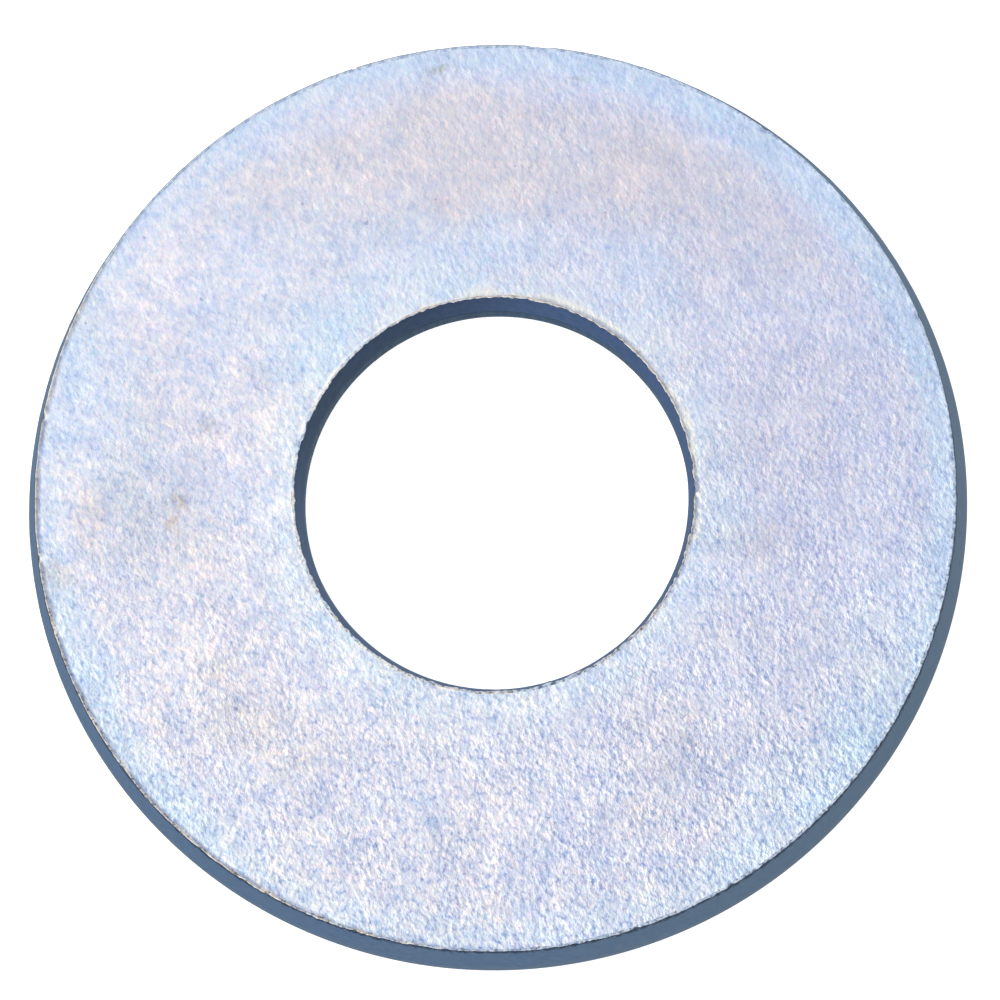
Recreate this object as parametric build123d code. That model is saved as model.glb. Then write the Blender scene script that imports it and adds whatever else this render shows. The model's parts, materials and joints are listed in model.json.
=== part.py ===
from build123d import *

import os
from math import radians, tan

# A flat washer is one piece of steel, punched out of strip and then plated.
# The lower face lies on Z = 0 and the origin is the centre of that face.
# +Z runs along the bore, towards the face that the punched edges tear away from.
# All sizes are in millimetres.

INCH = 25.4

# Driving dimensions: the wide (USS) pattern washer for a 1/2 in bolt.
OUTER_DIAMETER = 1.375 * INCH
BORE_DIAMETER = 0.5625 * INCH
THICKNESS = 2.4

# A punched edge has three bands. Where the tool enters, the metal is drawn over
# into a rounded roll. Above the roll is a straight burnished land, which is the
# full diameter. From the land up to the far face the metal has torn, which leaves
# a steep cone that ends in a sharp corner.
TEAR_ANGLE = 13
RIM_ROLL_RADIUS = 0.3
RIM_TEAR_HEIGHT = 1.9
BORE_ROLL_RADIUS = 0.2
BORE_TEAR_HEIGHT = 1.15


def torn_back(tear_height):
    """How far the torn cone has moved away from the land by the time it meets the upper face."""
    return tear_height * tan(radians(TEAR_ANGLE))


def washer_section():
    """The cross-section on the +X side of the axis, as a closed face."""
    rim_radius = OUTER_DIAMETER / 2
    bore_radius = BORE_DIAMETER / 2
    rim_roll_centre = (rim_radius - RIM_ROLL_RADIUS, RIM_ROLL_RADIUS)
    bore_roll_centre = (bore_radius + BORE_ROLL_RADIUS, BORE_ROLL_RADIUS)
    rim_land_top = (rim_radius, THICKNESS - RIM_TEAR_HEIGHT)
    bore_land_top = (bore_radius, THICKNESS - BORE_TEAR_HEIGHT)
    rim_corner = (rim_radius - torn_back(RIM_TEAR_HEIGHT), THICKNESS)
    bore_corner = (bore_radius + torn_back(BORE_TEAR_HEIGHT), THICKNESS)

    with BuildSketch(Plane.XZ) as section:
        with BuildLine():
            rim_roll = CenterArc(rim_roll_centre, RIM_ROLL_RADIUS, -90, 90)
            bore_roll = CenterArc(bore_roll_centre, BORE_ROLL_RADIUS, 180, 90)
            Line(bore_roll @ 1, rim_roll @ 0)
            Polyline(
                rim_roll @ 1, rim_land_top, rim_corner,
                bore_corner, bore_land_top, bore_roll @ 0,
            )
        make_face()
    return section.sketch


flat_washer = revolve(washer_section(), Axis.Z)
flat_washer.label = "flat_washer"

os.makedirs("parts", exist_ok=True)
export_step(flat_washer, "parts/flat_washer.step")
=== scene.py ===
"""Looks for the flat washer.

One piece replaces the plain CAD disc: the same disc, with the ragged edges that
punching leaves and a satin zinc plating that is faintly tinted.
Shapes and patterns are worked out in millimetres. The mesh, the camera and the floor are
made in metres.
"""

import json
import math
import random
from functools import partial

import bpy
from mathutils import Matrix, Vector, noise


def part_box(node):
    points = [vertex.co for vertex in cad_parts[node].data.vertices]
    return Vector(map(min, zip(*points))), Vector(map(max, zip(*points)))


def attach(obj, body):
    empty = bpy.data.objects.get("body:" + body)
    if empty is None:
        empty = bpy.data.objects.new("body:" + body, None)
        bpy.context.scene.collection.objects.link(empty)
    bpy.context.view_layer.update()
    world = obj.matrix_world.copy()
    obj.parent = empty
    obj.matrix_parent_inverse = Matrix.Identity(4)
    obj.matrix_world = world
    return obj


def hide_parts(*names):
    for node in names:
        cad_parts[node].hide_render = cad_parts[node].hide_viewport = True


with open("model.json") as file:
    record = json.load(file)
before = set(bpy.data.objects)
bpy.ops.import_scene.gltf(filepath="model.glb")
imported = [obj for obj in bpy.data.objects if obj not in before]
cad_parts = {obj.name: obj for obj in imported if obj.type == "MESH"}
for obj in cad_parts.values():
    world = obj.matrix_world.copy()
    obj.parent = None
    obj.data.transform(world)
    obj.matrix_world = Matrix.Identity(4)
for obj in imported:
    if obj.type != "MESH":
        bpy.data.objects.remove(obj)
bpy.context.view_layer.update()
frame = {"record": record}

METRES_PER_MM = 0.001


# ---------------------------------------------------------------------------
# Sizes in millimetres
# ---------------------------------------------------------------------------

def bore_radius_from_record():
    """The radius of the bore mount, which is the burnished land of the bore."""
    for mount in frame["record"]["mounts"]:
        if mount["name"] == "bore":
            return mount["dims"]["r_mm"]
    raise ValueError("the record has no bore mount")


RIM_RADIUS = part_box("flat_washer")[1].x / METRES_PER_MM
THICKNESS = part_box("flat_washer")[1].z / METRES_PER_MM
BORE_RADIUS = bore_radius_from_record()

# A punched edge has three bands, as in the CAD model: a rounded roll at the lower face, a
# straight burnished land, and a torn cone that leans back from it up to the upper face.
TEAR_SLOPE = math.tan(math.radians(13))
RIM_ROLL = 0.3
RIM_TEAR = 1.9
BORE_ROLL = 0.2
BORE_TEAR = 1.15

FACE_OUTER_RADIUS = RIM_RADIUS - RIM_TEAR * TEAR_SLOPE
FACE_INNER_RADIUS = BORE_RADIUS + BORE_TEAR * TEAR_SLOPE
FACE_MIDDLE_RADIUS = (FACE_OUTER_RADIUS + FACE_INNER_RADIUS) / 2

# Unevenness round an edge. Each has its height or depth and the length of its waves.
# The line where the land gives way to the tear sways, and is jagged on top of that.
TEAR_LINE_SWAY = (0.07, 4.0)
TEAR_LINE_JAGS = (0.05, 0.9)
# The land has fine lines along the punch's travel, and the tear is rough.
DRAW_LINES = (0.006, 0.16)
TORN_GRAIN = (0.022, 0.5)
# The notches and teeth are in the outline of the burr.
BURR_NOTCHES = (0.03, 0.45)
BURR_TEETH = (0.035, 0.15)
# The burr's height and width vary too. Here the first number is a share of each.
BURR_HEIGHT_CHANGES = (1.2, 0.6)
BURR_WIDTH_CHANGES = (0.6, 1.1)

# The tear is undercut just below the burr, over about this share of its height.
UNDERCUT = 0.03
UNDERCUT_SHARE = 0.08
# The tear is rough from its foot up to this share of its height, and roughest half way.
TORN_GRAIN_END = 0.9

# The burr is the ragged lip that the tear leaves round the upper face.
BURR_HEIGHT = 0.035
BURR_WIDTH = 0.09
# How far the burr hangs out over the torn cone.
BURR_OVERHANG = 0.03
# How far across the burr its crest is, and how far a dent may take it below the face.
CREST_SHARE = 0.4
CREST_LOWEST = -0.02
# The tools were a little out of line, so the rim tore least in this direction and the bore
# tore least in the opposite one. There the burr loses this share of its height.
CLEAN_SIDE = math.radians(50)
BURR_LOSS = 0.8
# The rim's outline is smoothest in this direction.
SMOOTH_SIDE = math.radians(105)

# Small dents in the sharp corners: one for so many mm of edge, and the ranges of their sizes.
NICK_SPACING = 9.0
NICK_HALF_WIDTHS = (0.08, 0.25)
NICK_DEPTHS = (0.02, 0.07)

# The faces rise and fall in slow and quick waves, and the upper face turns up a little
# towards its edges. Each has its height and its reach.
SLOW_SWELL = (0.007, 5.5)
QUICK_SWELL = (0.0016, 1.6)
RIM_LIFT = (0.006, 0.8)
BORE_LIFT = (0.012, 0.9)

# Points round a full circle. The outer half of the disc has twice as many.
INNER_POINTS = 900
OUTER_POINTS = 2 * INNER_POINTS


# ---------------------------------------------------------------------------
# Shape
# ---------------------------------------------------------------------------

def wobble(angle, waves, seed):
    """Smooth noise from about -1 to 1 round the circle, with that many waves in a turn."""
    reach = waves / (2 * math.pi)
    return noise.noise(Vector((reach * math.cos(angle), reach * math.sin(angle), seed)))


def ragged(angle, waves, seed):
    """The same with finer, lower waves on top of the main ones."""
    coarse = wobble(angle, waves, seed)
    fine = wobble(angle, waves * 2.7, seed + 11.3)
    return coarse + 0.6 * fine


def facing(angle, side):
    """From 1 on that side of the washer down to 0 on the opposite one."""
    return 0.5 + 0.5 * math.cos(angle - side)


class PunchedEdge:
    """The section of one punched edge, the rim or the bore, at any angle round the washer.

    outward is +1 where the metal ends towards larger radii, as at the rim, and -1 in the bore.
    raggedness scales the notches and teeth of its burr, and smoothing is the share of them
    that is lost on the smooth side.
    """

    def __init__(self, land_radius, roll, tear, outward, raggedness, smoothing, seed):
        self.land_radius = land_radius
        self.roll = roll
        self.tear = tear
        self.outward = outward
        self.raggedness = raggedness
        self.smoothing = smoothing
        self.seed = seed
        self.circumference = 2 * math.pi * land_radius
        self.nicks = self.make_nicks()

    def make_nicks(self):
        """A few small dents in the sharp corner: (angle, half width as an angle, depth in mm)."""
        dice = random.Random(self.seed)
        return [
            (
                dice.uniform(0, 2 * math.pi),
                dice.uniform(*NICK_HALF_WIDTHS) / self.land_radius,
                dice.uniform(*NICK_DEPTHS),
            )
            for _ in range(int(self.circumference / NICK_SPACING))
        ]

    def nick_depth(self, angle):
        """How deep the corner is dented at this angle, in mm."""
        depth = 0.0
        for centre, half_width, full_depth in self.nicks:
            away = abs((angle - centre + math.pi) % (2 * math.pi) - math.pi)
            if away < half_width:
                depth = max(depth, full_depth * (1 - (away / half_width) ** 2))
        return depth

    def wave(self, size, angle, seed, shape=wobble):
        """Noise round this edge. size is its height and the length of its waves."""
        height, length = size
        return height * shape(angle, self.circumference / length, self.seed + seed)

    def land_top(self, angle):
        """Height at which the burnished land gives way to the tear."""
        sway = self.wave(TEAR_LINE_SWAY, angle, 0)
        jags = self.wave(TEAR_LINE_JAGS, angle, 1, ragged)
        return THICKNESS - self.tear + sway + jags

    # Each of these four gives (inset, height) of a point on one band. inset is how far the
    # point is from the land into the metal, and share goes from 0 to 1 up the band.

    def roll_point(self, share, angle):
        """Up the quarter circle from the lower face. It is the same at every angle."""
        turn = share * math.pi / 2
        return self.roll * (1 - math.sin(turn)), self.roll * (1 - math.cos(turn))

    def land_point(self, share, angle):
        """Straight up from the roll, with the fine lines deepest half way."""
        height = self.roll + share * (self.land_top(angle) - self.roll)
        draw_line = self.wave(DRAW_LINES, angle, 2)
        return abs(draw_line) * math.sin(share * math.pi), height

    def tear_point(self, share, angle):
        """Up the torn cone, which leans back to the same corner wherever it starts."""
        bottom = self.land_top(angle)
        height = bottom + share * (THICKNESS - bottom)
        slope = self.tear * TEAR_SLOPE / (THICKNESS - bottom)
        inset = (height - bottom) * slope
        torn = self.wave(TORN_GRAIN, angle, 3 + height, ragged)
        undercut = UNDERCUT * math.exp(-(((1 - share) / UNDERCUT_SHARE) ** 2))
        fade = math.sin(min(share, TORN_GRAIN_END) / TORN_GRAIN_END * math.pi)
        return inset + torn * fade + undercut, height

    def lip_point(self, share, angle):
        """Over the burr, from the top of the tear across its crest to the face."""
        corner = self.tear * TEAR_SLOPE
        dent = self.nick_depth(angle)
        crest = BURR_HEIGHT * (1 + self.wave(BURR_HEIGHT_CHANGES, angle, 6, ragged))
        crest = max(crest * self.burr_share(angle) - dent, CREST_LOWEST)
        width = BURR_WIDTH * (1 + self.wave(BURR_WIDTH_CHANGES, angle, 7))
        teeth = self.wave(BURR_NOTCHES, angle, 5, ragged) + self.wave(BURR_TEETH, angle, 9)
        teeth *= self.raggedness * (1 - self.smoothing * facing(angle, SMOOTH_SIDE))
        start = teeth + dent - BURR_OVERHANG
        inset = corner + start * (1 - share) + width * share
        if share < CREST_SHARE:
            rise = math.sin(share / CREST_SHARE * math.pi / 2)
        else:
            rise = 0.5 + 0.5 * math.cos((share - CREST_SHARE) / (1 - CREST_SHARE) * math.pi)
        return inset, THICKNESS + crest * rise

    def burr_share(self, angle):
        """How much of its full height the burr has at this angle."""
        clean_side = CLEAN_SIDE if self.outward > 0 else CLEAN_SIDE + math.pi
        return 1 - BURR_LOSS * facing(angle, clean_side)

    def point(self, band, share, angle):
        """(radius, height) of a point that far along a band of the section."""
        places = {
            "roll": self.roll_point,
            "land": self.land_point,
            "tear": self.tear_point,
            "lip": self.lip_point,
        }
        inset, height = places[band](share, angle)
        return self.land_radius - self.outward * inset, height


RIM = PunchedEdge(RIM_RADIUS, RIM_ROLL, RIM_TEAR, 1, raggedness=1.0, smoothing=0.8, seed=3)
BORE = PunchedEdge(BORE_RADIUS, BORE_ROLL, BORE_TEAR, -1, raggedness=1.4, smoothing=0.0, seed=8)


def face_swell(x, y, seed):
    """Slow and quick waves in a face, as rolled strip has."""
    height, reach = SLOW_SWELL
    slow = height * noise.noise(Vector((x / reach, y / reach, seed)))
    height, reach = QUICK_SWELL
    quick = height * noise.noise(Vector((x / reach, y / reach, seed + 4.0)))
    return slow + quick


def edge_lift(radius):
    """How far the upper face turns up towards its torn edges."""
    height, reach = RIM_LIFT
    at_rim = height * math.exp(-(FACE_OUTER_RADIUS - radius) / reach)
    height, reach = BORE_LIFT
    at_bore = height * math.exp(-(radius - FACE_INNER_RADIUS) / reach)
    return at_rim + at_bore


def face_height(radius, angle, upper):
    """Height of a face at that place. The lower face stays on or above Z = 0."""
    x = radius * math.cos(angle)
    y = radius * math.sin(angle)
    if upper:
        return THICKNESS + face_swell(x, y, 21.0) + edge_lift(radius)
    return abs(face_swell(x, y, 35.0))


# The material slots of the mesh, in the order in which the materials are added at the end.
FACE, WALL, TORN, BURR = range(4)

# The bands of an edge, from the lower face to the upper face: where each ring of points lies
# along its band, and the material of the strips above those rings.
EDGE_BANDS = [
    ("roll", (0.0, 0.2, 0.4, 0.6, 0.8), WALL),
    ("land", (0.0, 0.35, 0.7), WALL),
    ("tear", (0.0, 0.14, 0.3, 0.46, 0.62, 0.78, 0.9, 0.96), TORN),
    ("lip", (0.0,), TORN),
    ("lip", (CREST_SHARE / 2, CREST_SHARE, 0.7), BURR),
    ("lip", (1.0,), FACE),
]
# Where the rings of a face lie between its edge and the circle half way across it.
UPPER_FACE_SHARES = (0.03, 0.08, 0.16, 0.27, 0.4, 0.55, 0.7, 0.85)
LOWER_FACE_SHARES = (0.06, 0.2, 0.4, 0.62, 0.84)


def make_ring(count, radius_and_height):
    """Points round a full circle, from a function that gives each angle its radius and height."""
    ring = []
    for step in range(count):
        angle = 2 * math.pi * step / count
        radius, height = radius_and_height(angle)
        ring.append((radius * math.cos(angle), radius * math.sin(angle), height))
    return ring


def edge_rings(edge, count):
    """The rings of one punched edge, each with the material of the strip above it."""
    for band, shares, material in EDGE_BANDS:
        for share in shares:
            yield make_ring(count, partial(edge.point, band, share)), material


def face_rings(edge, count, upper):
    """The rings of half a face, from its edge towards the circle half way across it."""
    shares = UPPER_FACE_SHARES if upper else LOWER_FACE_SHARES
    border = ("lip", 1.0) if upper else ("roll", 0.0)

    def face_point(share, angle):
        start, _ = edge.point(*border, angle)
        radius = start + share * (FACE_MIDDLE_RADIUS - start)
        return radius, face_height(radius, angle, upper)

    for share in shares:
        yield make_ring(count, partial(face_point, share)), FACE


def half_section(edge, count):
    """The rings of the inner or outer half, from low middle round the edge to high middle."""
    lower = list(face_rings(edge, count, upper=False))
    upper = list(face_rings(edge, count, upper=True))
    return lower[::-1] + list(edge_rings(edge, count)) + upper


class MeshBuilder:
    """Collects points and faces, and the material of each face."""

    def __init__(self):
        self.points = []
        self.faces = []
        self.materials = []

    def add_ring(self, ring):
        """Adds the points and gives their numbers."""
        first = len(self.points)
        self.points.extend(ring)
        return range(first, first + len(ring))

    def add_face(self, corners, material, flip):
        self.faces.append(corners[::-1] if flip else corners)
        self.materials.append(material)

    def bridge(self, ring_a, ring_b, material, flip):
        """Quads between two rings with as many points."""
        count = len(ring_a)
        for i in range(count):
            j = (i + 1) % count
            self.add_face((ring_a[i], ring_a[j], ring_b[j], ring_b[i]), material, flip)

    def bridge_double(self, coarse, fine, material, flip):
        """Triangles between a ring and one with twice as many points."""
        count = len(coarse)
        for i in range(count):
            j = (i + 1) % count
            left, middle, right = fine[2 * i], fine[2 * i + 1], fine[2 * j]
            self.add_face((coarse[i], middle, left), material, flip)
            self.add_face((coarse[i], coarse[j], middle), material, flip)
            self.add_face((coarse[j], right, middle), material, flip)

    def make_object(self, name):
        """A smooth-shaded object in metres, made of what was collected."""
        mesh = bpy.data.meshes.new(name)
        mesh.from_pydata([Vector(p) * METRES_PER_MM for p in self.points], [], self.faces)
        mesh.polygons.foreach_set("material_index", self.materials)
        mesh.polygons.foreach_set("use_smooth", [True] * len(self.faces))
        mesh.update()
        made = bpy.data.objects.new(name, mesh)
        bpy.context.scene.collection.objects.link(made)
        return made


def build_washer():
    """The whole washer as one closed mesh."""
    builder = MeshBuilder()
    ends = {}
    for edge, count, flip in ((BORE, INNER_POINTS, False), (RIM, OUTER_POINTS, True)):
        rings = [(builder.add_ring(ring), material) for ring, material in half_section(edge, count)]
        for (below, material), (above, _) in zip(rings, rings[1:]):
            builder.bridge(below, above, material, not flip)
        ends[edge] = (rings[0][0], rings[-1][0])
    builder.bridge_double(ends[BORE][0], ends[RIM][0], FACE, False)
    builder.bridge_double(ends[BORE][1], ends[RIM][1], FACE, True)
    return builder.make_object("zinc_washer")


# ---------------------------------------------------------------------------
# Materials
# ---------------------------------------------------------------------------

def srgb(red, green, blue):
    """A colour given as 0 to 255 screen values, as the linear values that Blender uses."""
    def linear(value):
        value /= 255
        return value / 12.92 if value <= 0.04045 else ((value + 0.055) / 1.055) ** 2.4
    return (linear(red), linear(green), linear(blue), 1.0)


def socket(sockets, identifier):
    """The socket with that identifier, for nodes that have several of one name."""
    return next(item for item in sockets if item.identifier == identifier)


class Graph:
    """Short names for the nodes that the materials are made of."""

    def __init__(self, material):
        material.use_nodes = True
        self.tree = material.node_tree
        self.tree.nodes.clear()

    def add(self, kind, **settings):
        """A new node with those properties."""
        node = self.tree.nodes.new(kind)
        for name, value in settings.items():
            setattr(node, name, value)
        return node

    def feed(self, target, value):
        """Gives an input its value, which is another node's output or a constant."""
        if isinstance(value, bpy.types.NodeSocket):
            self.tree.links.new(value, target)
        else:
            target.default_value = value

    def vector(self, operation, first, second=None, factor=None, output="Vector"):
        """One step of arithmetic on vectors."""
        node = self.add("ShaderNodeVectorMath", operation=operation)
        self.feed(node.inputs[0], first)
        if second is not None:
            self.feed(node.inputs[1], second)
        if factor is not None:
            self.feed(node.inputs["Scale"], factor)
        return node.outputs[output]

    def math(self, operation, first, second=0.0):
        """One step of arithmetic on numbers."""
        node = self.add("ShaderNodeMath", operation=operation)
        self.feed(node.inputs[0], first)
        self.feed(node.inputs[1], second)
        return node.outputs[0]

    def times(self, first, second):
        """The product of two numbers."""
        return self.math("MULTIPLY", first, second)

    def place(self):
        """Where a point of the surface is, in millimetres."""
        coordinates = self.add("ShaderNodeTexCoord").outputs["Object"]
        return self.vector("SCALE", coordinates, factor=1 / METRES_PER_MM)

    def blended(self, factor, first, second):
        """Between two numbers: the first at a factor of 0 and the second at 1."""
        node = self.add("ShaderNodeMix", data_type="FLOAT")
        self.feed(socket(node.inputs, "Factor_Float"), factor)
        self.feed(socket(node.inputs, "A_Float"), first)
        self.feed(socket(node.inputs, "B_Float"), second)
        return socket(node.outputs, "Result_Float")

    def along(self, vector, direction):
        """How far the vector goes in a direction of length 1."""
        return self.vector("DOT_PRODUCT", vector, direction, output="Value")

    def radius(self, place):
        """Distance from the washer's axis, in millimetres."""
        flat = self.vector("MULTIPLY", place, (1, 1, 0))
        return self.vector("LENGTH", flat, output="Value")

    def framed(self, vector, centre=(0, 0, 0), size=(1, 1, 1), turn=0.0):
        """The vector in a frame that has its own centre, turn about Z and unit along each axis."""
        node = self.add("ShaderNodeMapping", vector_type="TEXTURE")
        self.feed(node.inputs["Vector"], vector)
        node.inputs["Location"].default_value = centre
        node.inputs["Rotation"].default_value = (0, 0, turn)
        node.inputs["Scale"].default_value = size
        return node.outputs["Vector"]

    def noise(self, vector, per_mm, detail=2.0, roughness=0.5, offset=0.0, output="Fac"):
        """Clouds from 0 to 1. Those with another offset are another pattern."""
        node = self.add("ShaderNodeTexNoise", noise_dimensions="4D")
        self.feed(node.inputs["Vector"], vector)
        node.inputs["W"].default_value = offset
        node.inputs["Scale"].default_value = per_mm
        node.inputs["Detail"].default_value = detail
        node.inputs["Roughness"].default_value = roughness
        return node.outputs[output]

    def span(self, value, low, high, to_low=0.0, to_high=1.0, smooth=True):
        """The value moved from one range to another and held inside it.

        It eases in and out of the range, unless smooth is off.
        """
        node = self.add("ShaderNodeMapRange", clamp=True)
        node.interpolation_type = "SMOOTHSTEP" if smooth else "LINEAR"
        self.feed(node.inputs["Value"], value)
        for name, number in (
            ("From Min", low), ("From Max", high), ("To Min", to_low), ("To Max", to_high),
        ):
            node.inputs[name].default_value = number
        return node.outputs["Result"]

    def blend(self, factor, first, second, how="MIX"):
        """Between two colours: the first at a factor of 0 and the second at 1."""
        node = self.add("ShaderNodeMix", data_type="RGBA", blend_type=how)
        self.feed(socket(node.inputs, "Factor_Float"), factor)
        self.feed(socket(node.inputs, "A_Color"), first)
        self.feed(socket(node.inputs, "B_Color"), second)
        return socket(node.outputs, "Result_Color")

    def tinted(self, factor, colour, tint):
        """The colour with part of a tint multiplied into it."""
        return self.blend(factor, colour, tint, "MULTIPLY")

    def ramp(self, value, *stops):
        """A colour from a value. Each stop is (value, colour)."""
        node = self.add("ShaderNodeValToRGB")
        self.feed(node.inputs["Fac"], value)
        elements = node.color_ramp.elements
        while len(elements) < len(stops):
            elements.new(1.0)
        for element, (position, colour) in zip(elements, stops):
            element.position = position
            element.color = colour
        return node.outputs["Color"]

    def bump(self, height, depth, strength=1.0):
        """A surface normal from a height from 0 to 1, which stands for that many mm."""
        node = self.add("ShaderNodeBump")
        node.inputs["Distance"].default_value = depth * METRES_PER_MM
        self.feed(node.inputs["Strength"], strength)
        self.feed(node.inputs["Height"], height)
        return node.outputs["Normal"]

    def metal(self, colour, roughness, normal):
        """The shader and the output of a bare metal surface."""
        shader = self.add("ShaderNodeBsdfPrincipled")
        self.feed(shader.inputs["Base Color"], colour)
        self.feed(shader.inputs["Roughness"], roughness)
        self.feed(shader.inputs["Normal"], normal)
        shader.inputs["Metallic"].default_value = 1.0
        output = self.add("ShaderNodeOutputMaterial")
        self.feed(output.inputs["Surface"], shader.outputs["BSDF"])


def new_material(name):
    """A blank material, its graph, and where each point of its surface is in millimetres."""
    material = bpy.data.materials.new(name)
    g = Graph(material)
    return material, g, g.place()


UP = (0, 0, 1)
WHITE = (1.0, 1.0, 1.0, 1.0)

# The turns about Z of the three patterns that are drawn out along a line. The grain follows
# the direction in which the strip was rolled.
ROLLING_TURN = math.radians(-70)
HAIRLINE_TURN = math.radians(-50)
FLECK_TURN = math.radians(-30)
# The strip is coarser on this side. It changes over this far each way from the axis.
COARSE_SIDE = (0.05, -0.99, 0.0)
COARSE_REACH = 12.0


def coarse_side(g, place):
    """0 where the strip is finest and 1 where it is coarsest."""
    return g.span(g.along(place, COARSE_SIDE), -COARSE_REACH, COARSE_REACH, smooth=False)


def outside_share(g, place):
    """0 in the bore and 1 on the rim."""
    return g.span(g.radius(place), BORE_RADIUS + 2.0, RIM_RADIUS - 2.0)


# The tints of the plating. A tint is multiplied into the colour under it.
WARM = (1.01, 0.945, 0.865, 1.0)
VIOLET = (0.96, 0.95, 0.96, 1.0)
CYAN = (0.935, 1.0, 1.02, 1.0)
GREY = (0.93, 0.935, 0.935, 1.0)
TEAL = (0.98, 1.05, 1.04, 1.0)
# Patches of tint on the upper face. Each has its tint, centre, half length and half width in
# mm, turn in degrees, and how strong the tint is.
TINT_PATCHES = [
    (WARM, (-8.6, -8.2), 4.2, 2.2, -45, 0.35),
    (GREY, (-9.2, -8.6), 3.2, 1.8, -45, 0.6),
    (WARM, (6.0, -9.2), 3.0, 1.8, 30, 0.35),
    (WARM, (9.6, -2.0), 2.2, 1.4, 10, 0.5),
    (WARM, (-14.8, -0.9), 0.8, 1.5, 10, 0.5),
    (WARM, (-16.0, -2.9), 1.1, 0.7, 0, 1.0),
    (VIOLET, (11.2, 2.6), 6.6, 3.7, 100, 1.0),
    (CYAN, (-2.0, 9.3), 5.0, 2.2, 5, 1.3),
    (CYAN, (5.6, 8.4), 3.2, 1.8, -40, 1.0),
    (CYAN, (-8.5, 8.5), 6.0, 4.2, 45, 0.7),
    (CYAN, (-6.3, 6.3), 3.6, 1.9, 45, 1.4),
    (CYAN, (-6.1, 6.1), 3.0, 1.0, 45, 0.8),
    (CYAN, (9.2, 0.0), 3.0, 1.5, 90, 0.5),
    (CYAN, (-14.4, 2.8), 6.0, 2.4, 100, 0.8),
    (CYAN, (13.5, -10.0), 2.2, 1.3, 53, 0.6),
    (TEAL, (11.3, -10.6), 6.5, 1.7, 47, 0.9),
    (TEAL, (13.8, -6.2), 5.0, 2.4, 66, 0.6),
    (GREY, (-12.5, 0.5), 5.5, 3.2, 95, 1.0),
    (GREY, (-13.6, -1.6), 4.5, 2.4, 95, 0.8),
    (GREY, (8.0, -10.4), 3.5, 2.2, 40, 0.6),
    (CYAN, (-15.4, -5.6), 5.0, 1.5, 110, 0.7),
    (CYAN, (-12.0, -11.4), 5.0, 1.5, 136, 0.7),
    (GREY, (-14.0, -9.0), 5.5, 1.3, 123, 0.5),
]

# Small smudges, given in the same way. They all have one brown tint.
SMUDGE_TINT = (0.8, 0.74, 0.66, 1.0)
SMUDGES = [
    ((-11.8, -0.5), 0.55, 1.1, -15, 1.1),
    ((-10.5, 2.5), 0.8, 0.5, -30, 0.5),
    ((-9.9, -6.3), 1.1, 0.6, 40, 0.3),
    ((-2.2, 16.15), 0.8, 0.22, 2, 0.9),
    ((2.8, 15.7), 0.6, 0.3, 0, 0.7),
    ((-2.0, 10.9), 0.6, 0.35, 15, 0.3),
    ((5.2, -11.6), 0.8, 0.45, -20, 0.3),
]


def patch(g, place, centre, length, width, turn_degrees):
    """From 1 in the middle of an oval on the upper face down to 0 at its border."""
    middle = (centre[0], centre[1], THICKNESS)
    local = g.framed(place, middle, (length, width, 1.0), math.radians(turn_degrees))
    return g.span(g.vector("LENGTH", local, output="Value"), 1.0, 0.35)


# A broad warm arc lies half way across the upper face. It has the radii that its inner and
# outer borders fade over, the direction from the axis towards its middle, and how far that
# way its ends fade.
WARM_ARC_INNER = (9.2, 11.4)
WARM_ARC_OUTER = (15.8, 14.5)
WARM_SIDE = (0.1, 0.99, 0.0)
WARM_ARC_ENDS = (7.0, 12.5)
WARM_ARC_STRENGTH = 0.8


def warm_arc(g, place):
    """1 along the warm arc and 0 outside it."""
    radius = g.radius(place)
    across = g.times(g.span(radius, *WARM_ARC_INNER), g.span(radius, *WARM_ARC_OUTER))
    return g.times(across, g.span(g.along(place, WARM_SIDE), *WARM_ARC_ENDS))


def warped(g, place, reach, per_mm, offset):
    """The place moved about by noise, so that what is drawn on it has an uneven outline."""
    shifts = g.noise(place, per_mm, offset=offset, output="Color")
    centred = g.vector("SUBTRACT", shifts, (0.5, 0.5, 0.5))
    return g.vector("ADD", place, g.vector("SCALE", centred, factor=2 * reach))


def stained(g, colour, place):
    """The colour with its tinted patches and smudges."""
    loose = warped(g, place, reach=1.1, per_mm=0.45, offset=7.0)
    colour = g.tinted(g.times(warm_arc(g, loose), WARM_ARC_STRENGTH), colour, WARM)
    for tint, centre, length, width, turn, strength in TINT_PATCHES:
        oval = g.times(patch(g, loose, centre, length, width, turn), strength)
        colour = g.tinted(oval, colour, tint)
    tight = warped(g, place, reach=0.35, per_mm=1.9, offset=9.0)
    broken = g.span(g.noise(place, 3.2, detail=3.0, offset=14.0), 0.42, 0.58, 0.2, 1.0)
    for centre, length, width, turn, strength in SMUDGES:
        oval = g.times(patch(g, tight, centre, length, width, turn), strength)
        colour = g.tinted(g.times(oval, broken), colour, SMUDGE_TINT)
    return colour


# The slow and quick changes of tint that a clear chromate coat gives. Each has its waves per
# mm, and the tints that it passes between.
MOTTLES = [
    (0.35, (0.965, 0.98, 1.0, 1.0), (1.025, 1.0, 0.97, 1.0)),
    (0.9, (0.975, 0.99, 0.985, 1.0), (1.025, 1.01, 1.01, 1.0)),
    (2.2, (0.94, 0.968, 1.0, 1.0), (1.06, 1.028, 0.985, 1.0)),
    (4.6, (0.975, 1.02, 0.985, 1.0), (1.025, 0.98, 1.015, 1.0)),
]
# More of the same, and stronger on the coarse side.
COARSE_MOTTLES = [
    (0.6, (0.925, 0.935, 0.955, 1.0), (1.06, 1.055, 1.04, 1.0)),
    (1.5, (0.85, 0.88, 0.94, 1.0), (1.12, 1.1, 1.04, 1.0)),
]


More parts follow.
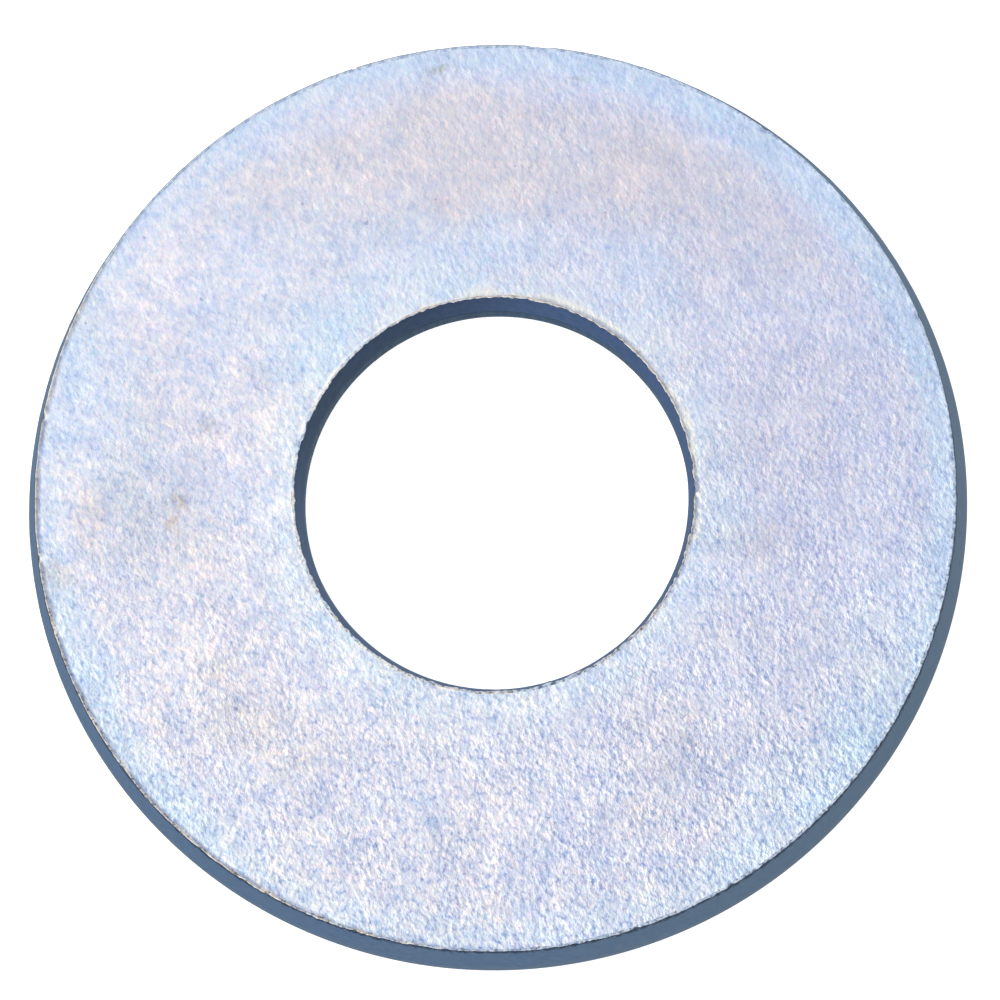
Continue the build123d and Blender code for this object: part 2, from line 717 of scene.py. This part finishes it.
def mottled(g, colour, place, coarse):
    """The colour with its clouds of tint."""
    for mottles, amount in ((MOTTLES, 1.0), (COARSE_MOTTLES, coarse)):
        for per_mm, low, high in mottles:
            clouds = g.noise(place, per_mm, detail=2.0, roughness=0.6, offset=30.0 + per_mm)
            colour = g.tinted(amount, colour, g.ramp(clouds, (0.35, low), (0.65, high)))
    return colour


# The zone along the rim is cool, and paler on the coarse side.
FINE_RIM_TINT = (0.92, 1.0, 1.03, 1.0)
COARSE_RIM_TINT = (0.98, 1.045, 1.035, 1.0)
# A crescent is cooler still. It is what lies outside a circle that is off the axis.
CRESCENT_CENTRE = (-0.75, -0.9, 0.0)
CRESCENT_RADIUS = 17.0
CRESCENT_TINT = (0.96, 1.015, 1.02, 1.0)
# Painted shade darkens the face just inside the lip on this side of the rim.
# There is a halo round the bore.
LIP_SHADE_SIDE = (-0.707, -0.707, 0.0)
LIP_SHADE_TINT = (0.93, 0.952, 0.988, 1.0)
BORE_HALO_TINT = (1.02, 1.08, 1.045, 1.0)


def edge_tinted(g, colour, place, radius, coarse):
    """The colour with the tints that follow the rim and the bore."""
    near_rim = g.span(radius, FACE_OUTER_RADIUS - 1.9, FACE_OUTER_RADIUS - 0.4)
    rim_tint = g.ramp(coarse, (0.3, FINE_RIM_TINT), (1.0, COARSE_RIM_TINT))
    colour = g.tinted(near_rim, colour, rim_tint)
    from_centre = g.radius(g.vector("SUBTRACT", place, CRESCENT_CENTRE))
    crescent = g.span(from_centre, CRESCENT_RADIUS - 0.15, CRESCENT_RADIUS + 0.2)
    colour = g.tinted(crescent, colour, CRESCENT_TINT)
    # Painted shade: a darker band just inside the rim's lip, on one side.
    at_lip = g.span(radius, FACE_OUTER_RADIUS - 0.85, FACE_OUTER_RADIUS - 0.5)
    lip_shade = g.span(g.along(place, LIP_SHADE_SIDE), 6.0, 14.0)
    colour = g.tinted(g.times(at_lip, lip_shade), colour, LIP_SHADE_TINT)
    near_bore = g.span(radius, FACE_INNER_RADIUS + 2.4, FACE_INNER_RADIUS + 0.2)
    return g.tinted(near_bore, colour, BORE_HALO_TINT)


def flecked(g, colour, place, amount, even_light):
    """The colour with pale and blue flecks, and a little pink and lilac among them.

    Where the light is even the relief shows less, so there are more flecks to take its place.
    """
    small = g.noise(place, 4.6, detail=1.5, offset=20.0)
    large = g.noise(place, 3.0, detail=1.0, offset=25.0)
    small_share = g.span(amount, 0.0, 1.0, 0.35, 1.0, smooth=False)
    colour = g.tinted(amount, colour, g.ramp(
        g.blended(small_share, large, small),
        (0.32, (0.6, 0.68, 0.84, 1.0)),
        (0.46, WHITE),
        (0.66, (1.08, 1.08, 1.02, 1.0)),
    ))
    drawn_out = g.framed(place, size=(1.6, 1, 1), turn=FLECK_TURN)
    colour = g.tinted(even_light, colour, g.ramp(
        g.noise(drawn_out, 3.6, detail=2.0, roughness=0.6, offset=50.0),
        (0.4, (0.9, 0.945, 0.99, 1.0)),
        (0.6, (1.08, 1.045, 1.005, 1.0)),
    ))
    return g.tinted(1.0, colour, g.ramp(
        g.noise(place, 5.0, detail=2.0, offset=12.0),
        (0.36, (0.95, 0.985, 1.01, 1.0)),
        (0.5, WHITE),
        (0.66, (1.04, 0.99, 0.97, 1.0)),
    ))


SPECK_TINT = (0.62, 0.67, 0.78, 1.0)
HAIRLINE_TINT = (1.18, 1.16, 1.1, 1.0)


def scratched(g, colour, place, coarse):
    """The colour with sparse dark specks and, on the fine side, a few short bright hairlines."""
    specks = g.noise(place, 2.4, detail=0.0, offset=40.0)
    colour = g.tinted(g.span(specks, 0.81, 0.86), colour, SPECK_TINT)
    drawn_out = g.framed(place, size=(4, 1, 1), turn=HAIRLINE_TURN)
    lines = g.span(g.noise(drawn_out, 4.0, detail=1.0, offset=45.0), 0.7, 0.74)
    fine = g.span(coarse, 0.55, 0.25)
    return g.tinted(g.times(lines, fine), colour, HAIRLINE_TINT)


# The sides on which the rim and the bore have been rubbed.
WORN_RIM_SIDE = (-0.91, -0.42, 0.0)
WORN_BORE_SIDE = (0.82, 0.57, 0.0)
# The colours of the face where it is worn, which cover this share of the colour under them.
WORN_FACE_AT_RIM = srgb(192, 193, 201)
WORN_FACE_AT_BORE = srgb(242, 238, 224)
WORN_COVER = 0.65
# How far the wear reaches from the corner, where it is least and where it is most.
WORN_REACHES = (0.06, 0.6)


def worn_share(g, place):
    """How far the sharp corners have worn: in patches, and mostly on one side.

    It goes up to 1 on the rim and up to 2 in the bore.
    """
    patches = g.noise(place, 0.8, detail=4.0, roughness=0.65, offset=16.0)
    patches = g.span(patches, 0.42, 0.6, 0.25, 1.0)
    rim_wear = g.span(g.along(place, WORN_RIM_SIDE), 6.0, 14.0)
    bore_wear = g.span(g.along(place, WORN_BORE_SIDE), 1.0, 5.0, 0.4, 2.0)
    return g.times(patches, g.blended(outside_share(g, place), bore_wear, rim_wear))


def chips(g, place, low, high):
    """1 in the small chips of the sharp corners and 0 outside them."""
    return g.span(g.noise(place, 7.0, detail=2.0, offset=18.0), low, high)


# The chips of the face fade in between these distances from the corner.
FACE_CHIP_REACHES = (0.16, 0.03)
FACE_CHIP_TINT = (0.42, 0.42, 0.46, 1.0)


def edge_worn(g, colour, place, radius, coarse):
    """The colour with the worn patches and the dark chips along both edges of the face."""
    to_rim = g.math("SUBTRACT", FACE_OUTER_RADIUS, radius)
    to_bore = g.math("SUBTRACT", radius, FACE_INNER_RADIUS)
    distance = g.math("MINIMUM", to_rim, to_bore)
    reach = g.span(worn_share(g, place), 0.0, 2.0, *WORN_REACHES, smooth=False)
    worn = g.span(g.math("DIVIDE", distance, reach), 1.0, 0.3)
    cream = g.blend(outside_share(g, place), WORN_FACE_AT_BORE, WORN_FACE_AT_RIM)
    colour = g.blend(g.times(worn, WORN_COVER), colour, cream)
    chipped = g.times(g.span(distance, *FACE_CHIP_REACHES), chips(g, place, 0.54, 0.62))
    return g.tinted(g.times(chipped, coarse), colour, FACE_CHIP_TINT)


GRAIN_PER_MM = 4.6
GRAIN_DEPTH = 0.075
# The grain is stretched this much along the rolling direction, and its soft part is this
# many times as large as its sharp part.
GRAIN_STRETCH = 1.15
SOFT_GRAIN_SIZE = 2.2

# The plating of the faces, and painted light on them: tints that fade from the shaded side to the
# lit side, towards the studio's bright side, over this far each way from the axis. The coarse side
# is a little yellower.
ZINC = srgb(226, 227, 244)
LIT_SIDE = (-0.94, -0.34, 0.0)
LIT_REACH = 14.0
SHADED_SIDE_TINT = (0.9, 0.92, 0.965, 1.0)
LIT_SIDE_TINT = (0.97, 0.97, 0.97, 1.0)
COARSE_SIDE_TINT = (1.01, 1.005, 0.98, 1.0)


def face_material():
    """Satin zinc: a fine grain on a pale blue-white, with the tints of a chromate coat."""
    material, g, place = new_material("satin_zinc_face")
    radius = g.radius(place)
    side = coarse_side(g, place)
    # Painted light: 0 on the shaded side of the face and 1 on its lit side.
    pale = g.span(g.along(place, LIT_SIDE), -LIT_REACH, LIT_REACH, smooth=False)
    even_light = g.span(pale, 0.15, 0.8)

    drawn_out = g.framed(place, size=(GRAIN_STRETCH, 1, 1), turn=ROLLING_TURN)
    sharp = g.noise(drawn_out, GRAIN_PER_MM)
    soft = g.noise(drawn_out, GRAIN_PER_MM / SOFT_GRAIN_SIZE, offset=1.0)
    sharpness = g.span(side, 0.0, 1.0, 0.5, 0.88, smooth=False)
    grain = g.blended(sharpness, soft, sharp)
    patchy = g.span(g.noise(place, 0.9, detail=1.0, offset=6.0), 0.3, 0.7, 0.7, 1.15)
    relief = g.span(even_light, 0.0, 1.0, 1.0, 0.74, smooth=False)
    strength = g.times(g.times(sharpness, patchy), relief)

    fleck_amount = g.span(side, 0.0, 1.0, 0.4, 1.0, smooth=False)
    colour = flecked(g, ZINC, place, fleck_amount, even_light)
    # Painted light: the face is tinted paler on its lit side and duller on its shaded side.
    colour = g.tinted(1.0, colour, g.blend(pale, SHADED_SIDE_TINT, LIT_SIDE_TINT))
    colour = mottled(g, colour, place, g.span(side, 0.0, 1.0, 0.5, 0.95, smooth=False))
    colour = g.tinted(side, colour, COARSE_SIDE_TINT)
    colour = edge_tinted(g, colour, place, radius, side)
    colour = stained(g, colour, place)
    colour = scratched(g, colour, place, side)
    colour = edge_worn(g, colour, place, radius, g.span(side, 0.3, 0.8))

    roughness = g.span(grain, 0.3, 0.7, 0.3, 0.2)
    g.metal(colour, roughness, g.bump(grain, GRAIN_DEPTH, strength))
    return material


# Painted shade: the side of the bore that the hole shades most, and the tint that darkens it.
SHADED_BORE_SIDE = (-0.7, 0.7, 0.0)
BORE_SHADE_TINT = (0.6, 0.59, 0.58, 1.0)
# The rim is paler and warmer low down.
LOW_RIM_TINT = (1.26, 1.1, 0.95, 1.0)


def edge_colour(g, place, outside, inside):
    """The colour of a punched edge, from that of the rim and that of the bore."""
    # Painted shade on one side of the bore.
    dark = g.span(g.along(place, SHADED_BORE_SIDE), 0.48 * BORE_RADIUS, BORE_RADIUS)
    inside = g.tinted(dark, inside, BORE_SHADE_TINT)
    low = g.span(g.along(place, UP), RIM_ROLL + 0.65, RIM_ROLL + 0.15)
    outside = g.tinted(low, outside, LOW_RIM_TINT)
    return g.blend(outside_share(g, place), inside, outside)


# The rim's roll is darker and pinker low down, and the foot of the bore's land is darker and
# greener.
LOW_ROLL_TINT = (0.75, 0.66, 0.72, 1.0)
LOW_BORE_TINT = (0.68, 0.78, 0.8, 1.0)
WALL_LINE_DEPTH = 0.004


def wall_material():
    """Burnished land and roll: smooth, dark, with fine lines along the punch's travel.

    The bore is darker than the rim, with painted shade inside the hole.
    """
    material, g, place = new_material("burnished_zinc_edge")
    lines = g.noise(g.framed(place, size=(1, 1, 12)), 6.0)
    outside = g.ramp(lines, (0.3, srgb(156, 170, 184)), (0.7, srgb(176, 186, 198)))
    # Painted shade: the bore's colours are darker than the rim's.
    inside = g.ramp(lines, (0.3, srgb(56, 84, 112)), (0.7, srgb(68, 96, 122)))
    height = g.along(place, UP)
    # Darker towards the bottom, on the rim's roll and at the foot of the bore's land.
    low_roll = g.span(height, RIM_ROLL + 0.12, RIM_ROLL - 0.06)
    outside = g.tinted(low_roll, outside, LOW_ROLL_TINT)
    low_bore = g.span(height, BORE_ROLL + 0.45, BORE_ROLL + 0.1)
    inside = g.tinted(low_bore, inside, LOW_BORE_TINT)
    colour = edge_colour(g, place, outside, inside)
    g.metal(colour, g.span(lines, 0.3, 0.7, 0.24, 0.34), g.bump(lines, WALL_LINE_DEPTH))
    return material


# The tint of the painted shadow under the rim's lip.
LIP_SHADOW_TINT = (0.36, 0.32, 0.34, 1.0)
TORN_GRAIN_DEPTH = 0.012


def torn_material():
    """Torn cone: matt and dark, darkest in a painted shadow under the rim's lip."""
    material, g, place = new_material("torn_zinc_edge")
    grain = g.noise(place, 4.0, detail=4.0, roughness=0.6)
    outside = g.ramp(grain, (0.3, srgb(148, 164, 182)), (0.7, srgb(166, 180, 194)))
    # Painted shade: the bore's torn cone is darker than the rim's.
    inside = g.ramp(grain, (0.3, srgb(114, 132, 164)), (0.7, srgb(138, 152, 180)))
    # Painted shadow: a dark band along the top of the rim's tear, under the lip, strongest on the
    # coarse side.
    below = g.math("SUBTRACT", THICKNESS, g.along(place, UP))
    uneven = g.span(g.noise(place, 5.0, detail=3.0), 0.3, 0.7, -0.1, 0.1)
    lip_shadow = g.span(g.math("ADD", below, uneven), 0.32, 0.12)
    lip_shadow = g.times(lip_shadow, g.span(coarse_side(g, place), 0.1, 0.7, 0.15, 1.0))
    outside = g.tinted(lip_shadow, outside, LIP_SHADOW_TINT)
    colour = edge_colour(g, place, outside, inside)
    g.metal(colour, g.span(grain, 0.3, 0.7, 0.3, 0.42), g.bump(grain, TORN_GRAIN_DEPTH))
    return material


BURR_CHIP_TINT = (0.42, 0.4, 0.42, 1.0)
BURR_GRAIN_DEPTH = 0.02


def burr_material():
    """The lip: pale blue, and cream where the plating has worn."""
    material, g, place = new_material("worn_zinc_burr")
    grain = g.noise(place, 6.0, roughness=0.6)
    worn = g.ramp(grain, (0.35, srgb(186, 176, 168)), (0.6, srgb(230, 225, 215)))
    plated = g.ramp(grain, (0.35, srgb(150, 168, 192)), (0.6, srgb(206, 218, 232)))
    share = g.span(worn_share(g, place), 0.0, 0.6)
    colour = g.blend(share, plated, worn)
    chipped = g.times(chips(g, place, 0.52, 0.6), g.span(coarse_side(g, place), 0.3, 0.8))
    colour = g.tinted(chipped, colour, BURR_CHIP_TINT)
    g.metal(colour, g.span(grain, 0.3, 0.7, 0.5, 0.38), g.bump(grain, BURR_GRAIN_DEPTH))
    return material


# ---------------------------------------------------------------------------
# Stage, light and camera
# ---------------------------------------------------------------------------

# Where the camera is, as seen from the middle of the upper face. The azimuth goes from -Y
# towards +X.
VIEW_AZIMUTH = math.radians(15.3)
VIEW_ELEVATION = math.radians(78.8)
VIEW_DISTANCE = 16.3 * FACE_OUTER_RADIUS
# How much of the picture's width the upper face takes up.
FACE_SHARE_OF_WIDTH = 0.922
# The camera looks at a point that is this far in X and Y from the middle of the upper face.
AIM_OFFSET = (0.22, -0.25)


def make_camera():
    """The camera looks down on the upper face, with +X to the right of the picture."""
    face_centre = Vector((0, 0, THICKNESS))
    back = Vector((
        math.sin(VIEW_AZIMUTH) * math.cos(VIEW_ELEVATION),
        -math.cos(VIEW_AZIMUTH) * math.cos(VIEW_ELEVATION),
        math.sin(VIEW_ELEVATION),
    ))
    place = face_centre + back * VIEW_DISTANCE
    aim = face_centre + Vector((AIM_OFFSET[0], AIM_OFFSET[1], 0))
    ahead = (aim - place).normalized()
    right = Vector((1, 0, 0))
    right = (right - ahead * right.dot(ahead)).normalized()
    up = right.cross(ahead)

    data = bpy.data.cameras.new("camera")
    data.lens = data.sensor_width * FACE_SHARE_OF_WIDTH * VIEW_DISTANCE / (2 * FACE_OUTER_RADIUS)
    data.clip_start = 0.01
    data.clip_end = 10.0
    camera = bpy.data.objects.new("camera", data)
    turn = Matrix((right, up, -ahead)).transposed().to_4x4()
    camera.matrix_world = Matrix.Translation(place * METRES_PER_MM) @ turn
    bpy.context.scene.collection.objects.link(camera)
    bpy.context.scene.camera = camera


# Half the floor's side, and how far it lies below the washer, in metres.
FLOOR_REACH = 3.0
FLOOR_GAP = 0.00002
FLOOR_GLOW = 0.75


def make_floor():
    """A plain white floor, which the metal doesn't mirror."""
    mesh = bpy.data.meshes.new("floor")
    corners = [
        (across * FLOOR_REACH, along * FLOOR_REACH, -FLOOR_GAP)
        for across, along in ((-1, -1), (1, -1), (1, 1), (-1, 1))
    ]
    mesh.from_pydata(corners, [], [(0, 1, 2, 3)])
    floor = bpy.data.objects.new("floor", mesh)
    bpy.context.scene.collection.objects.link(floor)
    floor.visible_glossy = False

    material = bpy.data.materials.new("white_floor")
    g = Graph(material)
    shader = g.add("ShaderNodeBsdfPrincipled")
    shader.inputs["Base Color"].default_value = (0.9, 0.9, 0.9, 1)
    shader.inputs["Roughness"].default_value = 1.0
    shader.inputs["Specular IOR Level"].default_value = 0.0
    shader.inputs["Emission Color"].default_value = WHITE
    shader.inputs["Emission Strength"].default_value = FLOOR_GLOW
    output = g.add("ShaderNodeOutputMaterial")
    g.feed(output.inputs["Surface"], shader.outputs["BSDF"])
    mesh.materials.append(material)


# The level direction towards the bright side of the studio.
BRIGHT_SIDE = (-0.95, -0.31, 0.0)
# What the studio fades into lower down, and what the room fades into just below the horizon.
STUDIO_HAZE = (0.82, 0.86, 0.94, 1.0)
ROOM_HAZE = (0.5, 0.56, 0.66, 1.0)


def make_world():
    """A white studio that is brighter on one side overhead, over a dark blue room.

    The camera itself sees plain white behind the floor's edge.
    """
    world = bpy.data.worlds.new("studio")
    bpy.context.scene.world = world
    g = Graph(world)
    direction = g.add("ShaderNodeTexCoord").outputs["Generated"]
    up = g.along(direction, UP)
    towards_light = g.along(direction, BRIGHT_SIDE)

    studio = g.ramp(
        g.span(towards_light, -1.0, 1.0, smooth=False),
        (0.3, (0.4, 0.5, 0.7, 1.0)),
        (0.5, WHITE),
        (0.7, (1.75, 1.7, 1.6, 1.0)),
    )
    room = g.ramp(
        g.span(towards_light, -0.5, 0.5, smooth=False),
        (0.0, (0.25, 0.32, 0.38, 1.0)),
        (1.0, (0.235, 0.34, 0.49, 1.0)),
    )
    room = g.blend(g.span(up, -0.65, -0.2), room, ROOM_HAZE)
    studio = g.blend(g.span(up, 0.75, 0.4), studio, STUDIO_HAZE)
    light = g.blend(g.span(up, -0.06, 0.45), room, studio)

    backdrop = g.blend(g.add("ShaderNodeLightPath").outputs["Is Camera Ray"], light, WHITE)
    background = g.add("ShaderNodeBackground")
    g.feed(background.inputs["Color"], backdrop)
    output = g.add("ShaderNodeOutputWorld")
    g.feed(output.inputs["Surface"], background.outputs["Background"])


washer = build_washer()
for make in (face_material, wall_material, torn_material, burr_material):
    washer.data.materials.append(make())
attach(washer, "root")
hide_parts("flat_washer")

make_camera()
make_floor()
make_world()
bpy.context.scene.view_settings.view_transform = "Standard"
